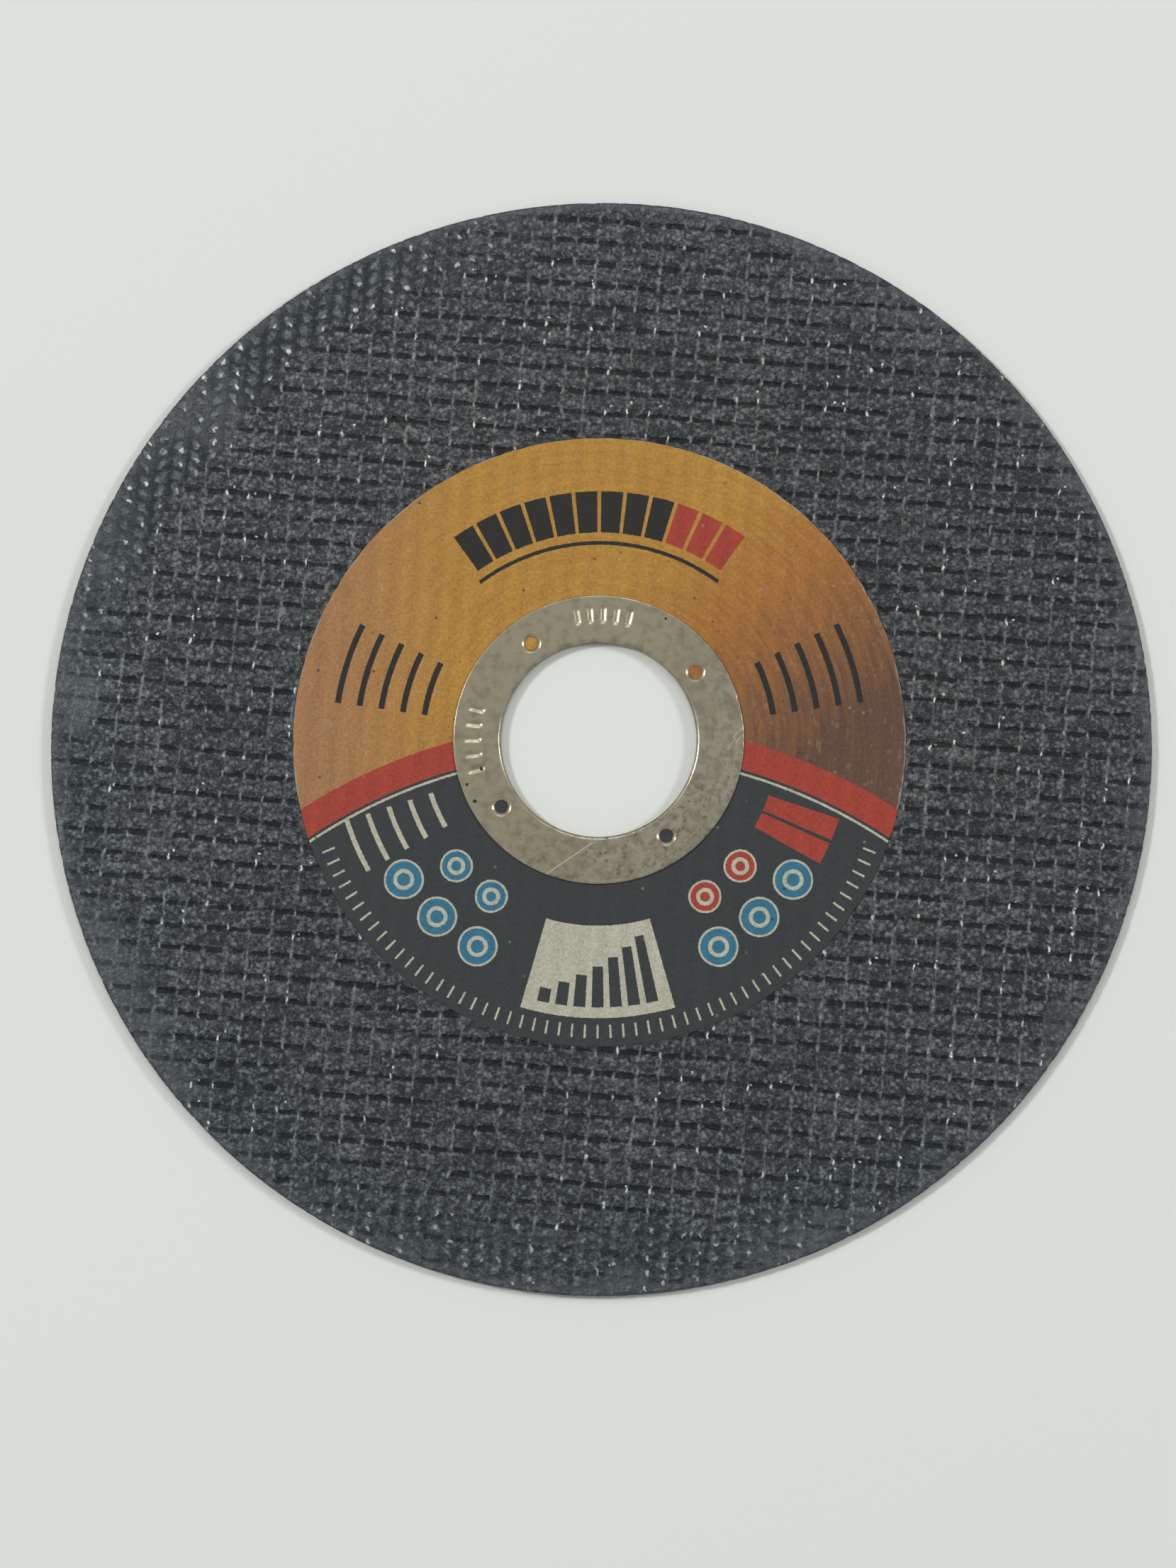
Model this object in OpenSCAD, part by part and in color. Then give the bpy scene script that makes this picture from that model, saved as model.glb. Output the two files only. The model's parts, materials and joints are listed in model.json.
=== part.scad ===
// Cut-off wheel: a thin, flat, resin-bonded abrasive disc with glass cloth pressed into both faces.
// A round paper label lies flush in the front face. A stamped ring lies on the label and lines the bore.
// The wheel lies on its back, with its underside at z = 0, the bore along Z and the label facing +Z.

/* [Abrasive disc] */
// Outside diameter of the wheel
wheel_d = 125; // [100:5:180]
// Thickness of the abrasive disc
wheel_t = 1; // [0.8:0.1:3.2]
// Chamfer along both edges of the rim
rim_chamfer = 0.1; // [0.05:0.05:0.3]

/* [Glass cloth] */
// Distance between neighbouring threads of the cloth
thread_pitch = 2.5; // [2:0.1:5]
// Turn of the cloth from the label's upright, in degrees
cloth_turn = -4.7; // [-45:0.1:45]
// Width of the groove beside each row of threads
groove_w = 0.6; // [0.3:0.05:1]
// Depth of that groove
groove_depth = 0.15; // [0.05:0.01:0.25]
// Width of the cross threads that break up the grooves of the front face
cross_thread_w = 0.4; // [0.2:0.05:0.8]
// Plain border at the rim, outside the cloth's relief
rim_border = 1.2; // [0.5:0.1:4]
// Plain border of the front face, round the label
label_border = 0.3; // [0.1:0.1:3]
// Plain border of the back face, round the bore
bore_border = 1; // [0.5:0.1:5]

/* [Paper label] */
// Outside diameter of the label
label_d = 69.6; // [50:0.1:90]
// Thickness of the paper
label_t = 0.1; // [0.05:0.01:0.2]
// Gap between the label's edge and the recess that it is pressed into
label_gap = 0.05; // [0:0.01:0.2]
// Radius of the printed arch between the light field and the dark one
arch_r = 62; // [40:1:120]
// Height of the arch's crown above the bore's axis
arch_crown = 2; // [-10:0.5:10]
// Width of the printed band under the arch
band_w = 3.2; // [1:0.1:8]

/* [Bore ring] */
// Diameter of the bore
bore_d = 22.23; // [20:0.01:25.4]
// Outside diameter of the ring's flange
ring_d = 33; // [31:0.1:45]
// Thickness of the sheet that the ring is stamped from
sheet_t = 0.25; // [0.15:0.01:0.4]
// Inside radius of the bend from the flange to the collar
bend_r = 0.15; // [0.05:0.01:0.3]
// Rounding of the flange's outer edge
edge_r = 0.1; // [0.02:0.01:0.12]
// How far the collar stops short of the wheel's back
collar_short = 0.1; // [0:0.05:0.3]
// Gap between the ring's bend and the bore of the abrasive
collar_gap = 0.05; // [0.02:0.01:0.3]
// Number of holes pierced in the flange
key_holes = 4; // [3:1:8]
// Diameter of a pierced hole
key_hole_d = 1.5; // [0.8:0.1:1.8]
// Distance from the bore's wall to the centre of a hole
key_offset = 2.3; // [2:0.1:2.8]
// Turn of the first hole from the label's right, in degrees
key_turn = 35; // [0:1:90]
// Width of the funnel that the punch leaves round a hole
funnel_w = 0.4; // [0.1:0.05:0.5]
// Depth of that funnel
funnel_depth = 0.12; // [0.05:0.01:0.14]

/* [Hidden] */
$fn = 120;

// How far a cutting shape reaches past the face that it cuts
overcut = 0.1;
// Shortest groove worth pressing, at the ends of the rows
groove_min = 1;

wheel_r = wheel_d / 2;
bore_r = bore_d / 2;
ring_r = ring_d / 2;
label_r = label_d / 2;
recess_r = label_r + label_gap;
bend_centre_r = bore_r + sheet_t + bend_r;
disc_bore_r = bend_centre_r + collar_gap;
ring_top = wheel_t + sheet_t;
key_circle_r = bore_r + key_offset;

row_count = floor(wheel_r / thread_pitch);
groove_top_w = groove_w * (1 + overcut / groove_depth);
cloth_outer_r = wheel_r - rim_border;
front_inner_r = recess_r + label_border;
back_inner_r = disc_bore_r + bore_border;

// Half the length of the chord of a circle of radius r, at a distance from its centre
function half_chord(r, distance) = distance < r ? sqrt(r * r - distance * distance) : 0;

// The stretches of the row at height v that lie on a ring-shaped face, each as [start, end]
function row_spans(v, inner_r, outer_r) =
    let (
        outer = half_chord(outer_r, abs(v) + groove_w / 2),
        inner = half_chord(inner_r, max(abs(v) - groove_w / 2, 0))
    )
    inner == 0 ? [[-outer, outer]] : [[-outer, -inner], [inner, outer]];

// In a plain weave every second cross thread lies over a row, and the next row has the others on top
function over_thread(row, column) = (2 * column + abs(row % 2)) * thread_pitch;

// Grooves of the front face, broken by the cross threads, each as [start, end, height]
front_grooves = [
    for (row = [-row_count : row_count])
        for (span = row_spans(row * thread_pitch, front_inner_r, cloth_outer_r))
            for (column = [-row_count : row_count])
                let (
                    start = max(span[0], over_thread(row, column) + cross_thread_w / 2),
                    end = min(span[1], over_thread(row, column + 1) - cross_thread_w / 2)
                )
                if (end - start > groove_min)
                    [start, end, row * thread_pitch]
];

// Grooves of the back face, which run the whole row, each as [start, end, height]
back_grooves = [
    for (row = [-row_count : row_count])
        for (span = row_spans(row * thread_pitch, back_inner_r, cloth_outer_r))
            if (span[1] - span[0] > groove_min)
                [span[0], span[1], row * thread_pitch]
];

// One groove with a V section, cut down from z = 0
module groove(start, end, v) {
    translate([start, v, 0])
        rotate([90, 0, 90])
            linear_extrude(end - start)
                polygon([
                    [0, -groove_depth],
                    [groove_top_w / 2, overcut],
                    [-groove_top_w / 2, overcut]
                ]);
}

module cloth_relief(grooves) {
    rotate(cloth_turn)
        for (g = grooves)
            groove(g[0], g[1], g[2]);
}

// Half section of the disc: chamfered rim, flat faces and the label's recess
module disc_section() {
    polygon([
        [disc_bore_r, 0],
        [wheel_r - rim_chamfer, 0],
        [wheel_r, rim_chamfer],
        [wheel_r, wheel_t - rim_chamfer],
        [wheel_r - rim_chamfer, wheel_t],
        [recess_r, wheel_t],
        [recess_r, wheel_t - label_t],
        [disc_bore_r, wheel_t - label_t]
    ]);
}

// Resin-bonded abrasive, with the cloth's weave standing on both faces
module abrasive_disc() {
    color("#4b4d4e")
        difference() {
            rotate_extrude()
                disc_section();
            translate([0, 0, wheel_t])
                cloth_relief(front_grooves);
            mirror([0, 0, 1])
                cloth_relief(back_grooves);
        }
}

module label_blank() {
    difference() {
        cylinder(r = label_r, h = label_t);
        translate([0, 0, -overcut])
            cylinder(r = disc_bore_r, h = label_t + 2 * overcut);
    }
}

// The disc under the printed arch, or under the band when the radius is less
module under_arch(r) {
    translate([0, arch_crown - arch_r, -overcut])
        cylinder(r = r, h = label_t + 2 * overcut);
}

// Printed paper: an amber field above the arch, a red band along it and a charcoal field below
module paper_label() {
    translate([0, 0, wheel_t - label_t]) {
        color("#a47a3c")
            difference() {
                label_blank();
                under_arch(arch_r);
            }
        color("#9d4237")
            difference() {
                intersection() {
                    label_blank();
                    under_arch(arch_r);
                }
                under_arch(arch_r - band_w);
            }
        color("#3d3e40")
            intersection() {
                label_blank();
                under_arch(arch_r - band_w);
            }
    }
}

// Half section of the ring: flange with a rounded edge, bend, and collar down the bore
module ring_section() {
    translate([bend_centre_r, wheel_t])
        square([ring_r - bend_centre_r, sheet_t - edge_r]);
    translate([bend_centre_r, wheel_t])
        square([ring_r - edge_r - bend_centre_r, sheet_t]);
    translate([ring_r - edge_r, ring_top - edge_r])
        circle(edge_r);
    translate([bore_r, collar_short])
        square([sheet_t, wheel_t - bend_r - collar_short]);
    translate([bend_centre_r, wheel_t - bend_r])
        intersection() {
            difference() {
                circle(bend_r + sheet_t);
                circle(bend_r);
            }
            translate([-bend_r - sheet_t, 0])
                square(bend_r + sheet_t);
        }
}

// A pierced hole with the shallow funnel that the punch leaves, cut down from z = 0
module key_hole() {
    translate([0, 0, -sheet_t - overcut])
        cylinder(d = key_hole_d, h = sheet_t + 2 * overcut);
    translate([0, 0, -funnel_depth])
        cylinder(d1 = key_hole_d, d2 = key_hole_d + 2 * funnel_w, h = funnel_depth);
    cylinder(d = key_hole_d + 2 * funnel_w, h = overcut);
}

// Stamped tinplate ring that takes the wear of the arbor
module centre_ring() {
    color("#86806f")
        difference() {
            rotate_extrude()
                ring_section();
            for (i = [0 : key_holes - 1])
                rotate(key_turn + i * 360 / key_holes)
                    translate([key_circle_r, 0, ring_top])
                        key_hole();
        }
}

abrasive_disc();
paper_label();
centre_ring();
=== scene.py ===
# Cut-off wheel, 125 mm across, lying on a pale bench with its label up.
# The sections follow the wheel as it is made: abrasive disc, paper label, bore ring, then the studio.
import json
import math

import bmesh
import bpy
from mathutils import Matrix, Vector, noise


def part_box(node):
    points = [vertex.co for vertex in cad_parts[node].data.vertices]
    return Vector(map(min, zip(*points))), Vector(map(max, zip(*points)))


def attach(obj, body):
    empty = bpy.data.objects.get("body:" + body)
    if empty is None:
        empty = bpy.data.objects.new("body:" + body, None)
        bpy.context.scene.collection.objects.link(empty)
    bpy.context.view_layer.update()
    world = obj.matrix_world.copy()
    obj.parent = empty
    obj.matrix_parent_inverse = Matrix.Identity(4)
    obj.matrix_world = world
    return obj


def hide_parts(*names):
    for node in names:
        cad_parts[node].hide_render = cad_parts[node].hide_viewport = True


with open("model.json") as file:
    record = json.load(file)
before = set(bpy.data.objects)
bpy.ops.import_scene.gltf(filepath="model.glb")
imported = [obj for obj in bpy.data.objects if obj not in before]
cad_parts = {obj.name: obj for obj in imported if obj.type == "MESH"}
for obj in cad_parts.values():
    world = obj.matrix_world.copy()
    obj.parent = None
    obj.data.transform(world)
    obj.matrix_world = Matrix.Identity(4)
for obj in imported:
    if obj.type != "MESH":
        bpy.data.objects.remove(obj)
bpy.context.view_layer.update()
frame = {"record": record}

# Abrasive disc: ceramic grain and resin, pressed and cured round two glass cloths.
# The cloth shows on both faces as rows of broken grooves, crossed by the threads that lie over them,
# and fades out in resin-rich patches towards the plain rim.
MM = 0.001
disc_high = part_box("abrasive_disc")[1]
label_low, label_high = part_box("paper_label")
WHEEL_R = disc_high.x
WHEEL_T = disc_high.z
LABEL_R = label_high.x
LABEL_GAP = 0.05 * MM
LABEL_BORDER = 0.3 * MM
RECESS_R = LABEL_R + LABEL_GAP
RECESS_Z = label_low.z
BORE_R = frame["record"]["mounts"][0]["dims"]["r_mm"] * MM
RING_ROOM = 0.45 * MM
DISC_BORE_R = BORE_R + RING_ROOM
PITCH = 2.5 * MM
CLOTH_TURN = Matrix.Rotation(math.radians(-4.7), 3, "Z")
THREADS_ACROSS = 2 * math.ceil(WHEEL_R / PITCH) + 2
WANDER = 0.14 * MM
GROOVE_DEPTH = 0.14 * MM
KNOT_HEIGHT = 0.05 * MM
GRAIN_HEIGHT = 0.022 * MM
RIM_BORDER = 1.1 * MM
RIM_CHAMFER = 0.1 * MM
RIM_NICK = 0.12 * MM
TRIM_MARGIN = 0.2 * MM
MERGE_GAP = 0.07 * MM
SHARP_ANGLE = math.radians(50)

# Beads to a thread, the slip of their columns, and how slim and short each one is
BEAD_HEIGHT = 0.08 * MM
BEADS_ACROSS = 1.35
BEADS_ALONG = 1.58
BEAD_SLIP = 0.35
BEAD_SWING = 2.1
BEAD_SLIM = 2.5
BEAD_SHORT = 2.0

# Stretches of the rim with beads: heading in degrees from the label's right, radii at which the beads
# start and are full, and how strong they are
BEADED = (
    (134, 55.2 * MM, 57.4 * MM, 1.0),
    (268, 53.5 * MM, 56.5 * MM, 0.6),
)
BEADS_SPREAD = 44

# Radii between which resin fills the cloth, all round and on the left
RESIN_START = 53 * MM
RESIN_FULL = 62 * MM
LEFT_HEADING = 175
LEFT_SPREAD = 70
LEFT_START = 42 * MM
LEFT_FULL = 58 * MM


def smooth_step(value, low, high):
    share = min(max((value - low) / (high - low), 0.0), 1.0)
    return share * share * (3.0 - 2.0 * share)


def chance(row, column, draw):
    """A number from 0 to 1 that stays the same for one crossing of the cloth and one draw"""
    return noise.cell(Vector((row + 0.5, column + 0.5, draw + 0.5))) * 0.5 + 0.5


def wander(point, draw):
    """A slow drift of the threads, from -1 to 1"""
    return noise.noise(point * 90.0 + Vector((0.0, 0.0, draw)))


def towards(point, heading, spread):
    """1 at a heading from the axis, fading to 0 at the spread to either side of it, both in degrees"""
    off = abs((math.degrees(math.atan2(point.y, point.x)) - heading + 180.0) % 360.0 - 180.0)
    return 1.0 - smooth_step(off, 0.35 * spread, spread)


def bump_share(point):
    """How far the face shows pressed beads in place of grooves, which it does along parts of the rim"""
    reach = point.length + 2.5 * MM * noise.noise(point * 160.0)
    return max(
        strength * towards(point, heading, BEADS_SPREAD) * smooth_step(reach, start, full)
        for heading, start, full, strength in BEADED
    )


def bead_swell(cloth):
    """Height of the pressed beads, from 0 to 1, at a place of the cloth in threads"""
    across = cloth.x * BEADS_ACROSS
    along = cloth.y * BEADS_ALONG + BEAD_SLIP * math.sin(BEAD_SWING * across)
    off = Vector(((across % 1.0 - 0.5) * BEAD_SLIM, (along % 1.0 - 0.5) * BEAD_SHORT))
    return 1.0 - smooth_step(off.length, 0.0, 1.05)


def resin_share(point):
    """How far resin has filled the cloth at a point of the face, from 0 to 1"""
    near_rim = smooth_step(point.length, RESIN_START, RESIN_FULL)
    left = towards(point, LEFT_HEADING, LEFT_SPREAD) * smooth_step(point.length, LEFT_START, LEFT_FULL)
    patch = noise.noise(point * 130.0 + Vector((3.1, 7.7, 0.0))) + 0.5 * noise.noise(point * 420.0)
    return smooth_step(0.65 * near_rim + 0.3 * left + 0.5 * patch, 0.45, 1.1)


def cloth_height(point, row, row_place, column, column_place, groove_places, thread_places):
    """Height of the pressed cloth over the face at a point, and the shares of resin and of bumps there"""
    in_groove = row_place in groove_places
    on_thread = column_place in thread_places
    dash = column if column_place >= thread_places[0] else column - 1
    resin = resin_share(point)
    bumps = bump_share(point)
    depth = (0.6 + 0.4 * chance(row, dash, 1)) * (1.0 - 0.7 * resin) * (1.0 - bumps)
    grain = noise.noise(point * 1900.0) + 0.6 * noise.noise(point * 900.0 + Vector((9.0, 2.0, 5.0)))
    height = GRAIN_HEIGHT * grain * (1.0 - 0.5 * resin)
    if on_thread:
        height += KNOT_HEIGHT * chance(row, column, 3) * (1.0 - 0.7 * resin)
        depth *= 0.2
    if in_groove:
        height -= GROOVE_DEPTH * depth
    return height, resin, bumps


def cloth_sheet():
    """An empty mesh whose vertices hold their place on the cloth, in threads, and their resin and bumps"""
    sheet = bmesh.new()
    sheet.verts.layers.float_vector.new("cloth")
    sheet.verts.layers.float.new("resin")
    sheet.verts.layers.float.new("bumps")
    return sheet


def woven_face(
    sheet, row_lines, groove_places, column_lines, thread_places, inner_r, outer_r, top, press=1.0
):
    """Adds a face of quads whose lines follow the cloth's threads, trimmed to a ring. The lines are places
    across one thread, in millimetres, and the places say which of them lie in a groove or on a thread.
    Top is the face's height, and press is how much of the relief shows. Returns the vertices left."""
    across = THREADS_ACROSS * len(column_lines)
    along = THREADS_ACROSS * len(row_lines)
    made = bmesh.ops.create_grid(sheet, x_segments=across, y_segments=along, size=1.0)["verts"]
    cloth_layer = sheet.verts.layers.float_vector["cloth"]
    resin_layer = sheet.verts.layers.float["resin"]
    bumps_layer = sheet.verts.layers.float["bumps"]
    middle = THREADS_ACROSS // 2
    trimmed = []
    for vert in made:
        column, column_place = divmod(round((vert.co.x + 1.0) / 2.0 * across), len(column_lines))
        row, row_place = divmod(round((vert.co.y + 1.0) / 2.0 * along), len(row_lines))
        on_cloth = Vector((
            (column - middle) * PITCH + column_lines[column_place] * MM,
            (row - middle) * PITCH + row_lines[row_place] * MM,
            0.0,
        ))
        drift = Vector((wander(on_cloth, 1.0), wander(on_cloth, 5.0), 0.0)) * WANDER
        point = CLOTH_TURN @ (on_cloth + drift)
        reach = point.length
        if reach > outer_r + TRIM_MARGIN or reach < inner_r - TRIM_MARGIN:
            trimmed.append(vert)
            continue
        height, resin, bumps = cloth_height(
            point, row, row_place, column, column_place, groove_places, thread_places
        )
        height += BEAD_HEIGHT * bumps * bead_swell(on_cloth / PITCH)
        inside = smooth_step(outer_r - reach, 0.35 * RIM_BORDER, RIM_BORDER)
        inside *= smooth_step(reach - inner_r, 0.0, LABEL_BORDER)
        vert.co = (point.x, point.y, top + press * height * inside)
        vert[cloth_layer] = on_cloth / PITCH
        vert[resin_layer] = 1.0 - (1.0 - resin) * inside
        vert[bumps_layer] = bumps
    bmesh.ops.delete(sheet, geom=trimmed, context="VERTS")
    return [vert for vert in made if vert.is_valid]


def chip(around, height, nick):
    """How far grains have broken out of an edge in the given direction"""
    place = around * 110.0 + Vector((0.0, 0.0, height * 900.0))
    return nick * min(max(noise.noise(place) + 0.7 * noise.noise(place * 3.1), 0.0), 1.0)


def round_border(sheet, verts, inner_r, outer_r, nick):
    """Moves the trimmed border of a face on to its two circles, and returns the inner and the outer loop.
    The outer circle is nicked inwards here and there by up to the given depth."""
    middle_r = (inner_r + outer_r) / 2
    border = [vert for vert in verts if vert.is_boundary]
    for vert in border:
        around = Vector((vert.co.x, vert.co.y, 0.0)).normalized()
        radius = outer_r - chip(around, vert.co.z, nick) if vert.co.xy.length > middle_r else inner_r
        vert.co = (around.x * radius, around.y * radius, vert.co.z)
    bmesh.ops.remove_doubles(sheet, verts=border, dist=MERGE_GAP)
    edges = {edge for vert in verts if vert.is_valid for edge in vert.link_edges if edge.is_boundary}
    inner = [edge for edge in edges if edge.verts[0].co.xy.length < middle_r]
    outer = [edge for edge in edges if edge.verts[0].co.xy.length >= middle_r]
    return inner, outer


def drop_wall(sheet, loop, radius, height, nick=0.0):
    """Extrudes a loop to a circle at a radius and a height, nicked inwards, and returns the new loop"""
    made = bmesh.ops.extrude_edge_only(sheet, edges=loop)["geom"]
    fresh = {item for item in made if isinstance(item, bmesh.types.BMVert)}
    for vert in fresh:
        around = Vector((vert.co.x, vert.co.y, 0.0)).normalized()
        vert.co = around * (radius - chip(around, height, nick))
        vert.co.z = height
    edges = [item for item in made if isinstance(item, bmesh.types.BMEdge)]
    return [edge for edge in edges if edge.verts[0] in fresh and edge.verts[1] in fresh]


def new_piece(name, sheet, material):
    """Turns a finished bmesh into a smooth-shaded object of the wheel"""
    bmesh.ops.recalc_face_normals(sheet, faces=sheet.faces)
    mesh = bpy.data.meshes.new(name)
    sheet.to_mesh(mesh)
    sheet.free()
    mesh.shade_smooth()
    mesh.set_sharp_from_angle(angle=SHARP_ANGLE)
    mesh.materials.append(material)
    piece = bpy.data.objects.new(name, mesh)
    bpy.context.scene.collection.objects.link(piece)
    return piece


def add_node(tree, kind, inputs, **settings):
    """Adds a shader node. An input is a socket to link or a plain value."""
    made = tree.nodes.new(kind)
    for name, value in settings.items():
        setattr(made, name, value)
    for socket, value in inputs.items():
        if isinstance(value, bpy.types.NodeSocket):
            tree.links.new(value, made.inputs[socket])
        else:
            made.inputs[socket].default_value = value
    return made


def maths(tree, operation, *values):
    return add_node(tree, "ShaderNodeMath", dict(enumerate(values)), operation=operation).outputs[0]


def vectors(tree, operation, *values, output=0):
    made = add_node(tree, "ShaderNodeVectorMath", dict(enumerate(values)), operation=operation)
    return made.outputs[output]


def split(tree, vector):
    return add_node(tree, "ShaderNodeSeparateXYZ", {"Vector": vector}).outputs


def ramp(tree, value, low, high, to_low=0.0, to_high=1.0, kind="SMOOTHSTEP"):
    inputs = {"Value": value, "From Min": low, "From Max": high, "To Min": to_low, "To Max": to_high}
    return add_node(tree, "ShaderNodeMapRange", inputs, interpolation_type=kind).outputs["Result"]


def speckle(tree, place, scale, detail=2.0, output="Fac"):
    """A noise with a grain of one over the scale, in millimetres"""
    inputs = {"Vector": place, "Scale": scale, "Detail": detail}
    return add_node(tree, "ShaderNodeTexNoise", inputs).outputs[output]


def mix_colour(tree, share, first, second, blend="MIX"):
    made = add_node(tree, "ShaderNodeMix", {"Factor": share}, data_type="RGBA", blend_type=blend)
    for socket, value in zip((made.inputs[6], made.inputs[7]), (first, second)):
        if isinstance(value, bpy.types.NodeSocket):
            tree.links.new(value, socket)
        else:
            socket.default_value = value
    return made.outputs[2]


def new_material(name):
    """A material with its node tree, its shader and the object's coordinates in millimetres"""
    material = bpy.data.materials.new(name)
    material.use_nodes = True
    tree = material.node_tree
    shader = tree.nodes["Principled BSDF"]
    place = add_node(tree, "ShaderNodeTexCoord", {}).outputs["Object"]
    return material, tree, shader, vectors(tree, "MULTIPLY", place, (1.0 / MM, 1.0 / MM, 1.0 / MM))


def mesh_value(tree, name, output="Fac"):
    return add_node(tree, "ShaderNodeAttribute", {}, attribute_name=name).outputs[output]


def cells(tree, threads, shift):
    """Cuts the cloth into cells, and returns the place from a cell's middle and the cell's three chances"""
    shifted = vectors(tree, "ADD", threads, shift)
    corner = vectors(tree, "FLOOR", shifted)
    draw = add_node(tree, "ShaderNodeTexWhiteNoise", {"Vector": corner}).outputs["Color"]
    place = vectors(tree, "SUBTRACT", vectors(tree, "FRACTION", shifted), (0.5, 0.5, 0.0))
    return split(tree, place), split(tree, draw)


GRAIN_DARK = (0.022, 0.024, 0.026, 1.0)
GRAIN_LIGHT = (0.173, 0.181, 0.190, 1.0)
RESIN_BLUE = (0.026, 0.032, 0.037, 1.0)
# Painted shade, for the grooves and the rim's edge
GROOVE_SHADE_BLACK = (0.021, 0.023, 0.024, 1.0)
# Painted shadow, between beads
BEAD_SHADOW_BLUE = (0.017, 0.022, 0.026, 1.0)
# Painted lit side of the beads
LIT_BEAD_GREY = (0.112, 0.125, 0.131, 1.0)
THREAD_GREY = (0.252, 0.262, 0.26, 1.0)
# Painted highlight, for glints
PAINTED_GLINT_WHITE = (0.66, 0.68, 0.66, 1.0)

abrasive, tree, shader, in_mm = new_material("abrasive")
resin = mesh_value(tree, "resin")
facing = split(tree, add_node(tree, "ShaderNodeTexCoord", {}).outputs["Normal"])["Z"]
on_face = ramp(tree, maths(tree, "ABSOLUTE", facing), 0.15, 0.4)
bumps = maths(tree, "MULTIPLY", mesh_value(tree, "bumps"), on_face)
woven = maths(tree, "MULTIPLY", on_face, maths(tree, "MULTIPLY_ADD", resin, -0.6, 1.0))
woven = maths(tree, "MULTIPLY", woven, maths(tree, "SUBTRACT", 1.0, bumps))

# Grains: flakes of every grey in bluer or warmer patches, with painted shade at their edges and in dark
# pits, and painted highlights on pale crests
ragged = vectors(tree, "SUBTRACT", speckle(tree, in_mm, 2.4, 2.0, "Color"), (0.5, 0.5, 0.5))
flakes = vectors(tree, "MULTIPLY_ADD", ragged, (0.6, 0.6, 0.6), in_mm)
grain = add_node(tree, "ShaderNodeTexVoronoi", {"Vector": flakes, "Scale": 1.75})
grain_draw = split(tree, grain.outputs["Color"])
# Painted shade: each flake darkens from its middle towards its edges, where grains meet
dome_shade = ramp(tree, grain.outputs["Distance"], 0.22, 0.58, 1.0, 0.3)
coarse = speckle(tree, in_mm, 1.2, 1.0)
fine = ramp(tree, speckle(tree, in_mm, 3.4, 1.0), 0.43, 0.59)
# Painted highlight: pale lines along the crests of some flakes
crest_highlight = ramp(tree, maths(tree, "ABSOLUTE", maths(tree, "SUBTRACT", coarse, 0.5)), 0.0, 0.06, 1.0, 0.0)
crest_highlight = maths(tree, "MULTIPLY", crest_highlight, ramp(tree, grain_draw["Y"], 0.3, 0.6))
# Painted shade: dark pits, which the relief also sets low
pit_shade = ramp(tree, coarse, 0.33, 0.41, 1.0, 0.0)
patch = speckle(tree, in_mm, 0.09)
tone = maths(tree, "MULTIPLY_ADD", maths(tree, "MULTIPLY", dome_shade, grain_draw["X"]), 1.04, -0.135)
tone = maths(tree, "MULTIPLY_ADD", fine, 0.24, maths(tree, "MULTIPLY_ADD", pit_shade, -0.30, tone))
tone = maths(tree, "MULTIPLY_ADD", crest_highlight, 0.24, tone)
tone = maths(tree, "ADD", tone, ramp(tree, patch, 0.3, 0.7, -0.06, 0.06))
colour = mix_colour(tree, tone, GRAIN_DARK, GRAIN_LIGHT)
tint = mix_colour(tree, ramp(tree, patch, 0.4, 0.6), (0.985, 1.005, 1.015, 1.0), (1.035, 1.005, 1.005, 1.0))
colour = mix_colour(tree, 1.0, colour, tint, "MULTIPLY")
colour = mix_colour(tree, maths(tree, "MULTIPLY", resin, 0.6), colour, RESIN_BLUE)

# Weave: dark dashes along the rows, painted as shade in the grooves, strands across them and knots where
# they meet, and painted glints on knots and grains
frayed = vectors(tree, "SUBTRACT", speckle(tree, in_mm, 1.6, 2.0, "Color"), (0.5, 0.5, 0.5))
threads = vectors(tree, "MULTIPLY_ADD", frayed, (0.24, 0.22, 0.0), mesh_value(tree, "cloth", "Vector"))
place, draw = cells(tree, threads, (0.0, 0.5, 0.5))
along = maths(tree, "ABSOLUTE", place["X"])
off_row = maths(tree, "MULTIPLY_ADD", draw["X"], 0.08, maths(tree, "SUBTRACT", place["Y"], 0.04))
off_row = maths(tree, "ABSOLUTE", off_row)
half_width = maths(tree, "MULTIPLY_ADD", draw["Y"], 0.06, 0.04)
dash = ramp(tree, off_row, half_width, maths(tree, "ADD", half_width, 0.06), 1.0, 0.0)
half_length = maths(tree, "MULTIPLY_ADD", draw["Z"], 0.08, 0.28)
dash = maths(tree, "MULTIPLY", dash, ramp(tree, along, half_length, 0.47, 1.0, 0.0))
dash = maths(tree, "MULTIPLY", dash, ramp(tree, draw["Z"], 0.02, 0.25, 0.15, 1.0))
dash = maths(tree, "MULTIPLY", dash, woven)
place, draw = cells(tree, threads, (0.5, 0.0, 0.5))
strand = ramp(tree, maths(tree, "ABSOLUTE", place["X"]), 0.03, 0.10, 1.0, 0.0)
strand = maths(tree, "MULTIPLY", strand, ramp(tree, draw["X"], 0.3, 0.95, 0.0, 0.5))
strand = maths(tree, "MULTIPLY", strand, ramp(tree, speckle(tree, in_mm, 1.4), 0.42, 0.6))
place, draw = cells(tree, threads, (0.5, 0.5, 0.5))
knot_place = add_node(tree, "ShaderNodeCombineXYZ", {
    "X": maths(tree, "MULTIPLY_ADD", draw["X"], 1.2, maths(tree, "MULTIPLY_ADD", place["X"], 12.0, -0.6)),
    "Y": maths(tree, "MULTIPLY_ADD", draw["Y"], 2.0, maths(tree, "MULTIPLY_ADD", place["Y"], 5.0, -1.0)),
}).outputs[0]
knot = ramp(tree, vectors(tree, "LENGTH", knot_place, output="Value"), 0.4, 1.1, 1.0, 0.0)
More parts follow.
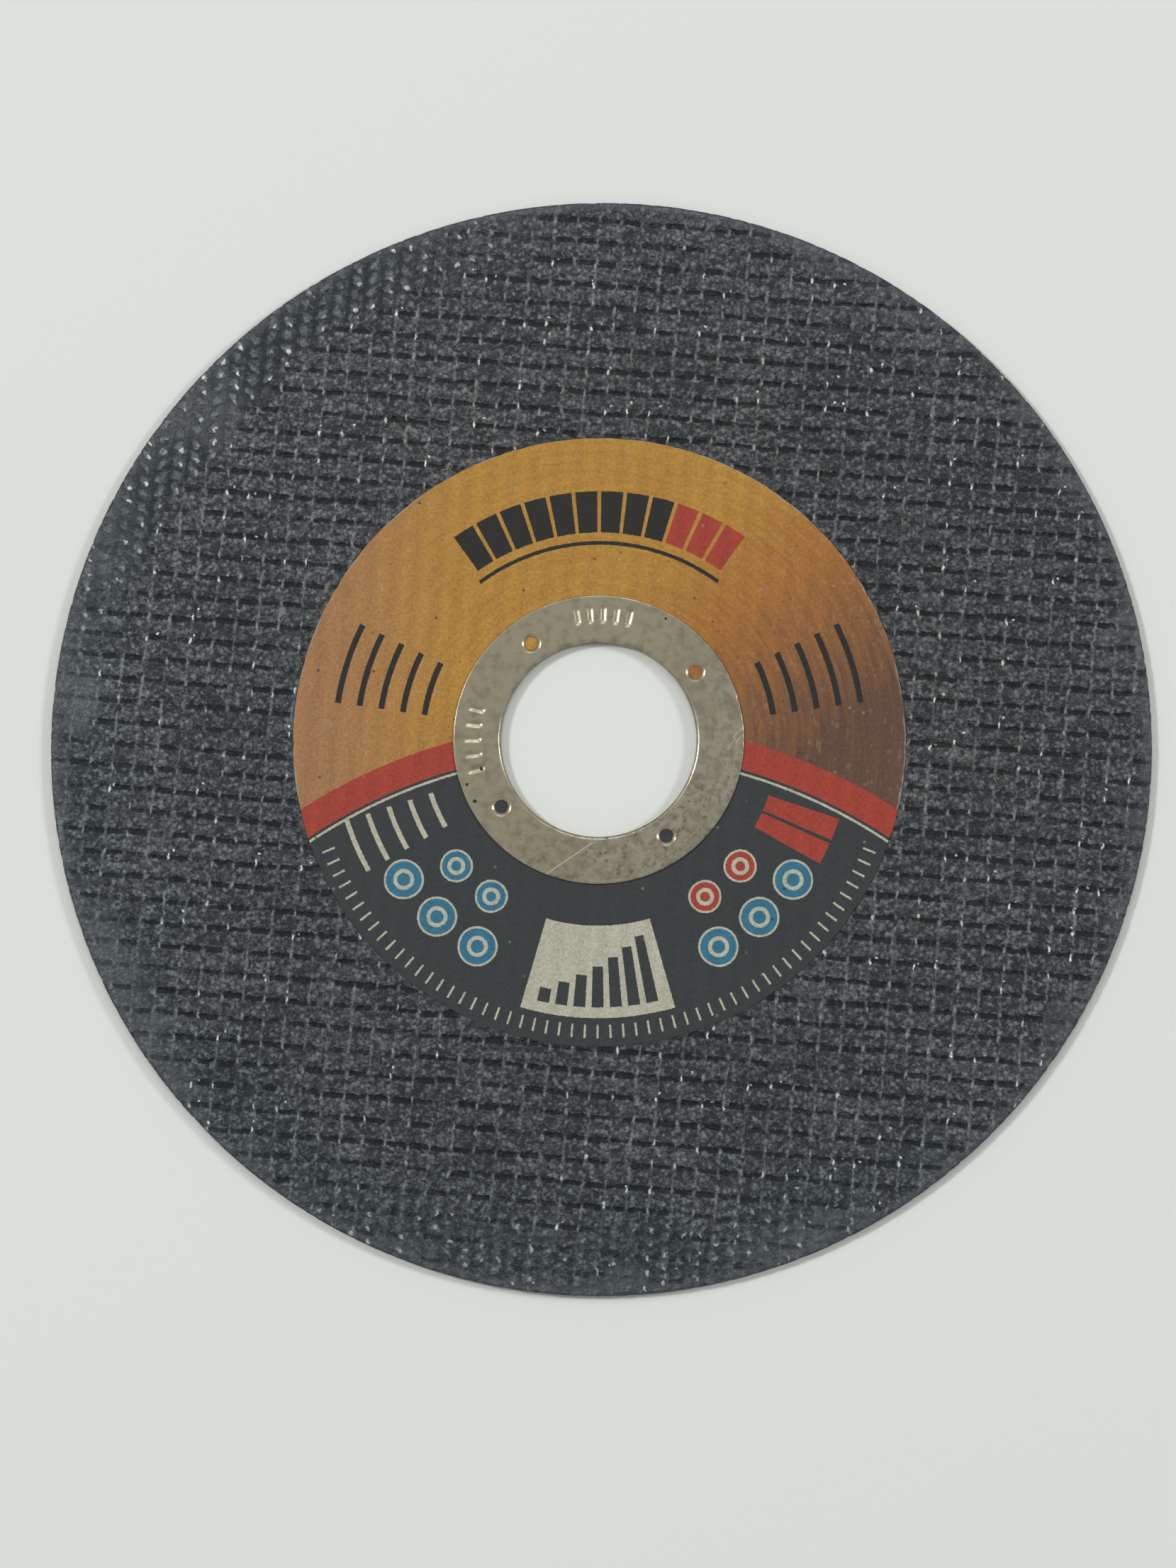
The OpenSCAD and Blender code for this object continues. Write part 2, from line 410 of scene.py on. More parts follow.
pale_knot = maths(tree, "MULTIPLY", knot, ramp(tree, draw["Z"], 0.1, 0.9, 0.2, 1.0))
thread = maths(tree, "MULTIPLY", maths(tree, "MAXIMUM", strand, pale_knot), woven)
# Painted highlights: white glints on the palest knots
painted_glint = maths(tree, "MULTIPLY", ramp(tree, knot, 0.75, 1.0), ramp(tree, draw["Z"], 0.79, 0.93))
painted_glint = maths(tree, "MULTIPLY", painted_glint, woven)
# Painted highlights: tiny sparks scattered over the grains
place, draw = cells(tree, threads, (0.3, 0.2, 0.5))
painted_spark_place = add_node(tree, "ShaderNodeCombineXYZ", {
    "X": maths(tree, "MULTIPLY_ADD", draw["X"], 0.7, maths(tree, "SUBTRACT", place["X"], 0.35)),
    "Y": maths(tree, "MULTIPLY_ADD", draw["Y"], 0.7, maths(tree, "SUBTRACT", place["Y"], 0.35)),
}).outputs[0]
painted_spark = ramp(tree, vectors(tree, "LENGTH", painted_spark_place, output="Value"), 0.03, 0.07, 1.0, 0.0)
painted_spark = maths(tree, "MULTIPLY", painted_spark, ramp(tree, draw["Z"], 0.85, 1.0))
painted_glint = maths(tree, "MAXIMUM", painted_glint, maths(tree, "MULTIPLY", painted_spark, on_face))
# Painted shade darkens the dashes in the grooves
colour = mix_colour(tree, maths(tree, "MULTIPLY", dash, 0.85), colour, GROOVE_SHADE_BLACK)
colour = mix_colour(tree, maths(tree, "MULTIPLY", thread, 0.85), colour, THREAD_GREY)
colour = mix_colour(tree, painted_glint, colour, PAINTED_GLINT_WHITE)

# Beads: near parts of the rim the threads are pressed into columns of beads. Painted shadow fills the gaps
# between them, darkest at each bead's left, each bead's crown is painted lit towards the lower right, and
# some have a painted glint there
beads = vectors(tree, "MULTIPLY_ADD", frayed, (0.12, 0.16, 0.0), threads)
beads = vectors(tree, "MULTIPLY", beads, (BEADS_ACROSS, BEADS_ALONG, 1.0))
slip = maths(tree, "SINE", maths(tree, "MULTIPLY", split(tree, beads)["X"], BEAD_SWING))
slip = add_node(tree, "ShaderNodeCombineXYZ", {"Y": maths(tree, "MULTIPLY", slip, BEAD_SLIP)}).outputs[0]
place, draw = cells(tree, vectors(tree, "ADD", beads, slip), (0.0, 0.0, 0.5))
bead = add_node(tree, "ShaderNodeCombineXYZ", {
    "X": maths(tree, "MULTIPLY", place["X"], BEAD_SLIM),
    "Y": maths(tree, "MULTIPLY", place["Y"], BEAD_SHORT),
}).outputs[0]
swell = ramp(tree, vectors(tree, "LENGTH", bead, output="Value"), 0.35, 1.05, 1.0, 0.0)
crown = maths(tree, "MULTIPLY", bumps, swell)
# Painted shadow: the gaps between beads, darker at each bead's left side
bead_shadow = maths(tree, "SUBTRACT", bumps, crown)
bead_shadow = maths(tree, "MULTIPLY", bead_shadow, ramp(tree, place["X"], -0.5, 0.5, 1.0, 0.55))
colour = mix_colour(tree, bead_shadow, colour, BEAD_SHADOW_BLUE)
# Painted light: each bead's crown is lighter towards the lower right, by a random amount
lit = ramp(tree, vectors(tree, "DOT_PRODUCT", bead, (0.7, -0.7, 0.0), output="Value"), -0.7, 0.8, 0.1, 0.9)
lit = maths(tree, "MULTIPLY", lit, ramp(tree, draw["Y"], 0.1, 0.9, 0.25, 1.0))
colour = mix_colour(tree, maths(tree, "MULTIPLY", crown, lit), colour, LIT_BEAD_GREY)
# Painted highlight: a glint at the lower right of some beads
bead_glint = ramp(tree, vectors(tree, "DISTANCE", bead, (0.42, -0.42, 0.0), output="Value"), 0.14, 0.42, 1.0, 0.0)
bead_glint = maths(tree, "MULTIPLY", bead_glint, ramp(tree, draw["X"], 0.4, 0.95, 0.0, 1.0))
colour = mix_colour(tree, maths(tree, "MULTIPLY", bumps, bead_glint), colour, PAINTED_GLINT_WHITE)

# Painted light falling off across the face: paler at the upper left, darker towards the lower left, and a
# little brighter towards the rim as painted sheen. The lower left and the rim are also bluer in tone, and a
# painted shadow darkens the rim's edge
from_axis = vectors(tree, "LENGTH", in_mm, output="Value")
low_left = vectors(tree, "DOT_PRODUCT", in_mm, (-0.6, -0.8, 0.0), output="Value")
high_left = vectors(tree, "DOT_PRODUCT", in_mm, (-0.75, 0.66, 0.0), output="Value")
# Painted light falloff across the face, with a bluer tone towards the lower left and the rim
for share, tint in (
    (ramp(tree, low_left, -30.0, 45.0), (0.90, 0.97, 0.99, 1.0)),
    (ramp(tree, from_axis, 44.0, 60.0), (1.02, 1.07, 1.09, 1.0)),
    (ramp(tree, high_left, 5.0, 62.0), (1.22, 1.21, 1.21, 1.0)),
):
    colour = mix_colour(tree, share, colour, tint, "MULTIPLY")
# Painted shadow: a dark line along the rim's edge, where the chamfer lies in shade
rim_edge_shadow = ramp(tree, from_axis, WHEEL_R / MM - 0.26, WHEEL_R / MM - 0.12, 0.0, 0.8)
colour = mix_colour(tree, rim_edge_shadow, colour, GROOVE_SHADE_BLACK)

# Relief and gloss: flakes, threads and beads stand up, pits and dashes lie low, and resin and glass shine
relief = maths(tree, "MULTIPLY_ADD", fine, 0.5, maths(tree, "MULTIPLY", pit_shade, -0.6))
relief = maths(tree, "MULTIPLY_ADD", grain.outputs["Distance"], -2.0, relief)
relief = maths(tree, "MULTIPLY", relief, maths(tree, "MULTIPLY_ADD", resin, -0.6, 1.0))
relief = maths(tree, "MULTIPLY_ADD", thread, 1.4, maths(tree, "MULTIPLY_ADD", dash, -0.7, relief))
relief = maths(tree, "MULTIPLY_ADD", swell, maths(tree, "MULTIPLY", bumps, 1.8), relief)
bump = add_node(tree, "ShaderNodeBump", {"Height": relief, "Strength": 1.0, "Distance": 0.12 * MM})
gloss = painted_glint
for sheen, share in ((crown, 0.4), (resin, 0.45), (thread, 0.7)):
    gloss = maths(tree, "MAXIMUM", gloss, maths(tree, "MULTIPLY", sheen, share))
shine = ramp(tree, maths(tree, "SUBTRACT", gloss, dash), -0.5, 1.0, 0.05, 0.75)
tree.links.new(colour, shader.inputs["Base Color"])
tree.links.new(ramp(tree, gloss, 0.0, 1.0, 0.62, 0.22), shader.inputs["Roughness"])
tree.links.new(shine, shader.inputs["Specular IOR Level"])
tree.links.new(bump.outputs["Normal"], shader.inputs["Normal"])

# Lines across one thread, in millimetres, and which of them lie in the groove or on the cross thread
FRONT_ROW_LINES = (-0.30, -0.18, 0.18, 0.30, 0.78, 1.25, 1.72)
FRONT_GROOVE = (1, 2)
FRONT_COLUMN_LINES = (-0.24, -0.10, 0.10, 0.24, 0.95, 1.65)
FRONT_THREAD = (1, 2)
BACK_ROW_LINES = (-0.32, 0.0, 0.32, 1.25)
BACK_GROOVE = (1,)
BACK_COLUMN_LINES = (0.0, 0.85, 1.65)
BACK_THREAD = (0,)
FACE_OUTER_R = WHEEL_R - RIM_CHAMFER

# Depths of the rim's courses of vertices, as shares of the thickness
RIM_COURSES = (0.1, 0.35, 0.65, 0.9)
disc = cloth_sheet()
front = woven_face(
    disc, FRONT_ROW_LINES, FRONT_GROOVE, FRONT_COLUMN_LINES, FRONT_THREAD, RECESS_R, FACE_OUTER_R, WHEEL_T
)
recess_loop, front_rim = round_border(disc, front, RECESS_R, FACE_OUTER_R, RIM_NICK)

# The back is made face up, a knot's height under zero, and turned over so that its knots lie at zero
back = woven_face(
    disc, BACK_ROW_LINES, BACK_GROOVE, BACK_COLUMN_LINES, BACK_THREAD, DISC_BORE_R, FACE_OUTER_R,
    -KNOT_HEIGHT,
)
for vert in back:
    vert.co.z = max(-vert.co.z, 0.0)
back_bore, back_rim = round_border(disc, back, DISC_BORE_R, FACE_OUTER_R, RIM_NICK)
rim_wall = front_rim
for course in RIM_COURSES:
    rim_wall = drop_wall(disc, rim_wall, WHEEL_R, WHEEL_T * (1.0 - course), RIM_NICK)
bmesh.ops.bridge_loops(disc, edges=rim_wall + back_rim)
recess_floor = drop_wall(disc, recess_loop, RECESS_R, RECESS_Z)
recess_floor = drop_wall(disc, recess_floor, DISC_BORE_R, RECESS_Z)
bmesh.ops.bridge_loops(disc, edges=recess_floor + back_bore)
abrasive_piece = new_piece("abrasive_wheel", disc, abrasive)
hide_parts("abrasive_disc")
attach(abrasive_piece, "root")

# Paper label: printed paper, pressed flush into the front face while the wheel is cured.
# An amber field over a charcoal one, with a red band along the arch between them. The cloth under it
# prints through as faint ribs, and its edge is a little ragged.
LABEL_TOP = label_high.z
LABEL_LINES = (0.0, 0.85, 1.65)
LABEL_RIB = (0,)
LABEL_PRESS = 0.16
LABEL_NICK = 0.12 * MM
paper = cloth_sheet()
print_face = woven_face(
    paper, LABEL_LINES, LABEL_RIB, LABEL_LINES, LABEL_RIB, DISC_BORE_R, LABEL_R, LABEL_TOP, LABEL_PRESS
)
label_bore, label_edge = round_border(paper, print_face, DISC_BORE_R, LABEL_R, LABEL_NICK)
under_label = drop_wall(paper, label_edge, LABEL_R - LABEL_NICK, RECESS_Z)
label_wall = drop_wall(paper, label_bore, DISC_BORE_R, RECESS_Z)
bmesh.ops.bridge_loops(paper, edges=under_label + label_wall)

AMBER = (0.405, 0.212, 0.034, 1.0)
AMBER_BURNT = (0.335, 0.136, 0.030, 1.0)
AMBER_DEEP = (0.105, 0.053, 0.034, 1.0)
AMBER_FADED = (0.290, 0.143, 0.078, 1.0)
SIGNAL_RED = (0.32, 0.043, 0.027, 1.0)
CHARCOAL = (0.029, 0.0325, 0.0345, 1.0)
CREAM = (0.42, 0.41, 0.325, 1.0)
SKY_BLUE = (0.029, 0.140, 0.226, 1.0)
PAPER_EDGE = (0.30, 0.27, 0.22, 1.0)
INK_BLACK = (0.012, 0.011, 0.010, 1.0)

# The print's sizes are in millimetres and its angles in degrees
ARCH_R = 62.0
ARCH_CROWN = 2.0
BAND_W = 3.2
HAIRLINE_GAP = 0.45
HAIRLINE_HALF = 0.14
TOP_ANGLE = 90.0
GAUGE_R = 26.2
GAUGE_HALF_W = 2.4
GAUGE_HALF_SWEEP = 36.0
BLOCK_HALF_STEP = 3.0
BLOCK_GAP = 0.45
UNDERLINE_R = 22.6
UNDERLINE_HALF = 0.22
ARCS_R = 25.0
ARCS_HALF_W = 5.4
ARC_HALF_STEP = 1.25
LOW_SIDE = -24.0
LOW_HALF_SWEEP = 6.0
PANEL_STEP = 3.9
PANEL_BARS = 7
BAR_FOOT_R = 30.4
TICK_R = 33.1
TICK_HALF_L = 0.75
TICK_HALF_STEP = 1.25
printed, tree, shader, in_mm = new_material("printed_paper")


def within(value, middle, half):
    """1 where the value lies within half of the middle, and 0 elsewhere"""
    return maths(tree, "COMPARE", value, middle, half)


def below(value, limit):
    return maths(tree, "LESS_THAN", value, limit)


def both(*masks):
    mask = masks[0]
    for other in masks[1:]:
        mask = maths(tree, "MULTIPLY", mask, other)
    return mask


def degrees(rise, run):
    return maths(tree, "DEGREES", maths(tree, "ARCTAN2", rise, run))


# The ink bleeds a little into the paper, so every printed edge is slightly rough
bleed = vectors(tree, "SUBTRACT", speckle(tree, in_mm, 6.0, 2.0, "Color"), (0.5, 0.5, 0.5))
inked = vectors(tree, "MULTIPLY_ADD", bleed, (0.16, 0.16, 0.0), in_mm)
flat = vectors(tree, "MULTIPLY", inked, (1.0, 1.0, 0.0))
spot = split(tree, flat)
across, up = spot["X"], spot["Y"]
radius = vectors(tree, "LENGTH", flat, output="Value")
angle = degrees(up, across)
side_angle = degrees(up, maths(tree, "ABSOLUTE", across))
down_angle = degrees(across, maths(tree, "MULTIPLY", up, -1.0))
arch = vectors(tree, "DISTANCE", flat, (0.0, ARCH_CROWN - ARCH_R, 0.0), output="Value")
on_left = below(across, 0.0)
on_right = maths(tree, "SUBTRACT", 1.0, on_left)

# Amber field: brushed in arcs round the axis, faded at the left edge and brown towards the lower right
brushed = add_node(tree, "ShaderNodeCombineXYZ", {
    "X": maths(tree, "MULTIPLY", degrees(across, up), 0.06),
    "Y": maths(tree, "MULTIPLY", radius, 1.5),
})
strokes = speckle(tree, brushed.outputs[0], 1.0, 4.0)
fall = vectors(tree, "DOT_PRODUCT", flat, (0.6, -0.8, 0.0), output="Value")
streaks = ramp(tree, strokes, 0.3, 0.7, -0.08, 0.18, kind="LINEAR")
deep = maths(tree, "ADD", ramp(tree, fall, -13.0, 17.0, kind="LINEAR"), streaks)
amber = mix_colour(tree, ramp(tree, deep, 0.0, 0.4, kind="LINEAR"), AMBER, AMBER_BURNT)
amber = mix_colour(tree, ramp(tree, deep, 0.4, 1.0, kind="LINEAR"), amber, AMBER_DEEP)
amber = mix_colour(tree, ramp(tree, across, -34.0, -13.0, 0.75, 0.0), amber, AMBER_FADED)
flecks = ramp(tree, speckle(tree, vectors(tree, "MULTIPLY", in_mm, (1.0, 0.5, 1.0)), 1.7, 1.0), 0.62, 0.70)
amber = mix_colour(tree, both(flecks, 0.09), amber, CREAM)
over_arch = maths(tree, "GREATER_THAN", arch, ARCH_R)
colour = mix_colour(tree, over_arch, CHARCOAL, amber)
colour = mix_colour(tree, within(arch, ARCH_R - BAND_W / 2, BAND_W / 2), colour, SIGNAL_RED)
colour = mix_colour(tree, within(arch, ARCH_R - BAND_W - HAIRLINE_GAP, HAIRLINE_HALF), colour, CREAM)

# Gauge of blocks over the bore, and arcs at both sides
blocks = maths(tree, "GREATER_THAN", maths(tree, "PINGPONG", angle, BLOCK_HALF_STEP), BLOCK_GAP)
gauge = both(blocks, within(angle, TOP_ANGLE, GAUGE_HALF_SWEEP), within(radius, GAUGE_R, GAUGE_HALF_W))
colour = mix_colour(tree, gauge, colour, INK_BLACK)
colour = mix_colour(tree, both(gauge, within(angle, 63.0, 9.0)), colour, SIGNAL_RED)
underline = within(angle, TOP_ANGLE, GAUGE_HALF_SWEEP + 1.0)
underline = both(underline, within(radius, UNDERLINE_R, UNDERLINE_HALF))
colour = mix_colour(tree, underline, colour, INK_BLACK)
rings = maths(tree, "PINGPONG", radius, ARC_HALF_STEP)
in_arcs = within(radius, ARCS_R, ARCS_HALF_W)
side_arcs = both(below(rings, 0.34), in_arcs, within(side_angle, 17.0, 9.0))
colour = mix_colour(tree, side_arcs, colour, INK_BLACK)
at_low_side = within(side_angle, LOW_SIDE, LOW_HALF_SWEEP)
low_arcs = both(below(rings, 0.28), in_arcs, at_low_side, on_left)
colour = mix_colour(tree, low_arcs, colour, CREAM)
low_blocks = both(blocks, at_low_side, within(radius, 24.5, 4.2), on_right)
colour = mix_colour(tree, low_blocks, colour, SIGNAL_RED)

# Dots in two rows at each side, a panel of rising bars, and ticks round the charcoal field.
# A row has its radius, a dot's radius, half a step, its first and last angle, and its ink on the right.
DOT_ROWS = (
    (27.2, 2.15, 6.0, -31.0, -65.0, SKY_BLUE),
    (21.6, 1.75, 7.0, -37.0, -61.0, SIGNAL_RED),
)
for row_r, dot_r, half_step, first, last, right_ink in DOT_ROWS:
    aside = maths(tree, "PINGPONG", side_angle, half_step)
    from_dot = add_node(tree, "ShaderNodeCombineXYZ", {
        "X": maths(tree, "MULTIPLY", aside, maths(tree, "RADIANS", radius)),
        "Y": maths(tree, "SUBTRACT", radius, row_r),
    })
    from_dot = vectors(tree, "LENGTH", from_dot.outputs[0], output="Value")
    dot_row = within(side_angle, (first + last) / 2, (first - last) / 2)
    dots = both(dot_row, below(from_dot, dot_r))
    colour = mix_colour(tree, dots, colour, mix_colour(tree, on_left, right_ink, SKY_BLUE))
    colour = mix_colour(tree, both(dot_row, within(from_dot, dot_r, 0.12)), colour, CREAM)
    colour = mix_colour(tree, both(dot_row, within(from_dot, 0.45 * dot_r, 0.22)), colour, CREAM)
panel = both(within(down_angle, 0.0, 16.0), within(radius, 26.4, 5.2))
colour = mix_colour(tree, panel, colour, CREAM)
bar = maths(tree, "MULTIPLY_ADD", down_angle, 1.0 / PANEL_STEP, PANEL_BARS / 2)
bar_height = maths(tree, "ADD", maths(tree, "FLOOR", bar), 1.6)
rise = maths(tree, "SUBTRACT", BAR_FOOT_R, radius)
bars = both(within(maths(tree, "FRACT", bar), 0.5, 0.33), within(bar, PANEL_BARS / 2, PANEL_BARS / 2))
bars = both(bars, below(rise, bar_height), below(radius, BAR_FOOT_R))
colour = mix_colour(tree, bars, colour, CHARCOAL)
ticks = below(maths(tree, "PINGPONG", angle, TICK_HALF_STEP), 0.2)
ticks = both(ticks, within(radius, TICK_R, TICK_HALF_L))
colour = mix_colour(tree, both(ticks, below(arch, ARCH_R - BAND_W - 1.5)), colour, CREAM)

# Paper: fibres, the cloth's ribs printing through, dark specks and pale rubbed spots
fibre = speckle(tree, in_mm, 3.2, 5.0)
weave = split(tree, mesh_value(tree, "cloth", "Vector"))
ribs = maths(tree, "MULTIPLY", maths(tree, "PINGPONG", weave["X"], 0.5), speckle(tree, in_mm, 0.10))
shade = maths(tree, "MULTIPLY_ADD", ribs, 0.45, ramp(tree, fibre, 0.3, 0.7, 0.78, 1.05))
shade = add_node(tree, "ShaderNodeCombineColor", {"Red": shade, "Green": shade, "Blue": shade}).outputs[0]
colour = mix_colour(tree, 1.0, colour, shade, "MULTIPLY")
frayed_r = maths(tree, "MULTIPLY_ADD", speckle(tree, in_mm, 1.2, 4.0), 0.5, radius)
worn = ramp(tree, frayed_r, LABEL_R / MM + 0.02, LABEL_R / MM + 0.16, 0.0, 0.7)
worn = both(worn, ramp(tree, speckle(tree, in_mm, 0.25), 0.40, 0.62), over_arch)
colour = mix_colour(tree, worn, colour, PAPER_EDGE)
dust = add_node(tree, "ShaderNodeTexVoronoi", {"Vector": inked, "Scale": 0.6})
dust_draw = split(tree, dust.outputs["Color"])
speck = ramp(tree, dust.outputs["Distance"], 0.0, maths(tree, "MULTIPLY", dust_draw["Z"], 0.26), 1.0, 0.0)
dirty = ramp(tree, speckle(tree, in_mm, 0.07), 0.40, 0.56)
dark_speck = both(speck, maths(tree, "GREATER_THAN", dust_draw["X"], 0.45), dirty)
colour = mix_colour(tree, dark_speck, colour, INK_BLACK)
colour = mix_colour(tree, both(speck, below(dust_draw["X"], 0.12), 0.4), colour, CREAM)
grains = ramp(tree, speckle(tree, in_mm, 1.1, 2.0), 0.35, 0.65)
relief = maths(tree, "MULTIPLY_ADD", ribs, 1.5, maths(tree, "MULTIPLY_ADD", grains, 0.6, fibre))
bump = add_node(tree, "ShaderNodeBump", {"Height": relief, "Strength": 0.5, "Distance": 0.04 * MM})
shader.inputs["Specular IOR Level"].default_value = 0.28
tree.links.new(colour, shader.inputs["Base Color"])
tree.links.new(ramp(tree, fibre, 0.3, 0.7, 0.45, 0.62), shader.inputs["Roughness"])
tree.links.new(bump.outputs["Normal"], shader.inputs["Normal"])
label_piece = new_piece("printed_label", paper, printed)
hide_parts("paper_label")
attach(label_piece, "root")

# Bore ring: stamped from thin tinplate, with its collar drawn down through the bore.
# Punched holes with rolled edges key it in the press, short ticks are struck into the flange,
# and it is scratched, spotted and tarnished from handling.
ring_low, ring_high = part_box("centre_ring")
RING_R = ring_high.x
RING_TOP = ring_high.z
SHEET_T = RING_TOP - WHEEL_T
COLLAR_Z = ring_low.z
RING_STEPS = 600
FLANGE_CUTS = 30
BEND_OUT_R = 0.4 * MM
BEND_IN_R = 0.15 * MM
EDGE_R = 0.1 * MM
KEY_HOLES = 4
KEY_TURN = math.radians(35)
KEY_OFFSET = 2.3 * MM
KEY_CIRCLE_R = BORE_R + KEY_OFFSET
KEY_HOLE_R = 0.75 * MM
FUNNEL_W = 0.4 * MM
FUNNEL_DEPTH = 0.19 * MM
FUNNEL_LIP = 0.05 * MM
PUNCH_STEPS = 40
EDGE_WEAR = 0.09 * MM
WORN_SIDE = 28
WORN_SPREAD = 50
FLANGE_WAVE = 0.006 * MM
STRIKES = [math.radians(a) for a in (76, 82, 88, 94, 100, 166, 173, 180, 187, 194)]
STRIKE_R = 14.3 * MM
STRIKE_DEPTH = 0.13 * MM
STRIKE_HALF_W = 0.12 * MM
STRIKE_HALF_L = 0.75 * MM
STRIKE_SLOPE = 0.24 * MM
STRIKE_END = 0.25 * MM
SPOKE_MIN = 1.0 * MM
CLOSE = 0.001 * MM
ring = bmesh.new()
corners = [ring.verts.new((r, 0.0, z)) for r, z in (
    (BORE_R, COLLAR_Z), (BORE_R, RING_TOP), (RING_R, RING_TOP), (RING_R, WHEEL_T),
    (BORE_R + SHEET_T, WHEEL_T), (BORE_R + SHEET_T, COLLAR_Z),
)]
section = [ring.edges.new((corners[i - 1], corners[i])) for i in range(len(corners))]
bmesh.ops.spin(
    ring, geom=corners + section, axis=(0, 0, 1), cent=(0, 0, 0), angle=math.tau, steps=RING_STEPS,
    use_merge=True,
)


def circle_edges(sheet, radius, height):
    """The edges of a mesh that run round the axis at a radius and a height"""
    return [edge for edge in sheet.edges if all(
        abs(v.co.xy.length - radius) < CLOSE and abs(v.co.z - height) < CLOSE for v in edge.verts)]


BENDS = (
    (BORE_R, RING_TOP, BEND_OUT_R, 6),
    (BORE_R + SHEET_T, WHEEL_T, BEND_IN_R, 3),
    (RING_R, RING_TOP, EDGE_R, 3),
)
for radius_at, height_at, rounding, segments in BENDS:
    bmesh.ops.bevel(
        ring, geom=circle_edges(ring, radius_at, height_at), offset=rounding, segments=segments,
        profile=0.5, affect="EDGES", material=-1,
    )
spokes = [edge for edge in ring.edges if all(abs(v.co.z - RING_TOP) < CLOSE for v in edge.verts)
          and abs(edge.verts[0].co.xy.length - edge.verts[1].co.xy.length) > SPOKE_MIN]
bmesh.ops.subdivide_edges(ring, edges=spokes, cuts=FLANGE_CUTS, use_grid_fill=True)

# The flange's edge is worn, most of all at the upper right, and its top is struck and slightly wavy
for vert in ring.verts:
    reach = vert.co.xy.length
    around = math.atan2(vert.co.y, vert.co.x) % math.tau
    if reach > RING_R - 1.1 * EDGE_R:
        wear = EDGE_WEAR * max(noise.noise(vert.co * 2000.0), 0.0)
        wear *= 0.25 + 0.75 * towards(vert.co, WORN_SIDE, WORN_SPREAD)
        vert.co.xy = vert.co.xy * (1.0 - wear / reach)
    if vert.co.z < RING_TOP - CLOSE:
        continue
    off_strike = min(abs(around - strike) for strike in STRIKES) * reach
    struck = 1.0 - smooth_step(off_strike, STRIKE_HALF_W, STRIKE_HALF_W + STRIKE_SLOPE)
    struck *= 1.0 - smooth_step(abs(reach - STRIKE_R), STRIKE_HALF_L, STRIKE_HALF_L + STRIKE_END)
    wave = noise.noise(vert.co * 260.0) * FLANGE_WAVE
    vert.co.z += min(wave, 0.0) - STRIKE_DEPTH * struck

# Each hole is cut by a punch with the funnel's profile, turned round the hole's own axis
punches = bmesh.new()
funnel = (
    (0.0, -2 * SHEET_T),
    (KEY_HOLE_R, -2 * SHEET_T),
    (KEY_HOLE_R, -FUNNEL_DEPTH - FUNNEL_LIP),
    (KEY_HOLE_R + FUNNEL_LIP, -FUNNEL_DEPTH),
    (KEY_HOLE_R + FUNNEL_W - FUNNEL_LIP, -0.2 * FUNNEL_LIP),
    (KEY_HOLE_R + FUNNEL_W, 0.0),
    (KEY_HOLE_R + FUNNEL_W, SHEET_T),
    (0.0, SHEET_T),
)
for i in range(KEY_HOLES):
    hole_turn = Matrix.Rotation(KEY_TURN + i * math.tau / KEY_HOLES, 3, "Z")
    hole_at = hole_turn @ Vector((KEY_CIRCLE_R, 0.0, RING_TOP))
    line = [punches.verts.new(hole_at + Vector((r, 0.0, z))) for r, z in funnel]
    wire = [punches.edges.new(pair) for pair in zip(line, line[1:])]
    bmesh.ops.spin(
        punches, geom=line + wire, axis=(0, 0, 1), cent=hole_at, angle=math.tau, steps=PUNCH_STEPS,
        use_merge=True,
    )
bmesh.ops.remove_doubles(punches, verts=punches.verts, dist=CLOSE)

tinplate, tree, shader, in_mm = new_material("tinplate")
TIN = (0.336, 0.302, 0.218, 1.0)
TIN_DULL = (0.222, 0.198, 0.144, 1.0)
TIN_BRIGHT = (0.50, 0.475, 0.41, 1.0)
TARNISH = (0.045, 0.037, 0.027, 1.0)

# Tin: mottled all over, dull and rubbed in rings towards the right, and stained low down
mottle = speckle(tree, in_mm, 0.9, 6.0)
stain = speckle(tree, in_mm, 4.5, 3.0)
uneven = ramp(tree, speckle(tree, in_mm, 0.16), 0.3, 0.7, -0.2, 0.2)
to_right = vectors(tree, "DOT_PRODUCT", in_mm, (0.045, -0.030, 0.0), output="Value")
aged = maths(tree, "ADD", ramp(tree, to_right, -0.3, 0.8), uneven)
downwards = vectors(tree, "DOT_PRODUCT", in_mm, (0.020, -0.050, 0.0), output="Value")
stained = maths(tree, "ADD", ramp(tree, downwards, -0.3, 0.8), uneven)
dulled = maths(tree, "MULTIPLY_ADD", ramp(tree, aged, 0.0, 0.8), 0.4, ramp(tree, mottle, 0.38, 0.72))
colour = mix_colour(tree, dulled, TIN, TIN_DULL)
where = split(tree, in_mm)
turn_round = maths(tree, "ARCTAN2", where["Y"], where["X"])
spun = add_node(tree, "ShaderNodeCombineXYZ", {
    "X": turn_round,
    "Y": maths(tree, "MULTIPLY", vectors(tree, "LENGTH", in_mm, output="Value"), 3.0),
}).outputs[0]
rubbed = ramp(tree, speckle(tree, spun, 1.6, 4.0), 0.52, 0.70)
rubbed = maths(tree, "MULTIPLY", rubbed, ramp(tree, aged, 0.2, 0.9, 0.04, 0.24))
colour = mix_colour(tree, rubbed, colour, TIN_BRIGHT)
hazy = ramp(tree, speckle(tree, in_mm, 1.1, 4.0), 0.36, 0.62, 1.0, 0.0)
hazy = maths(tree, "MULTIPLY", hazy, ramp(tree, aged, 0.2, 0.9, 0.0, 0.30))
colour = mix_colour(tree, hazy, colour, TIN_BRIGHT)
blotch = ramp(tree, speckle(tree, in_mm, 1.5, 4.0), 0.52, 0.68, 0.0, 0.75)
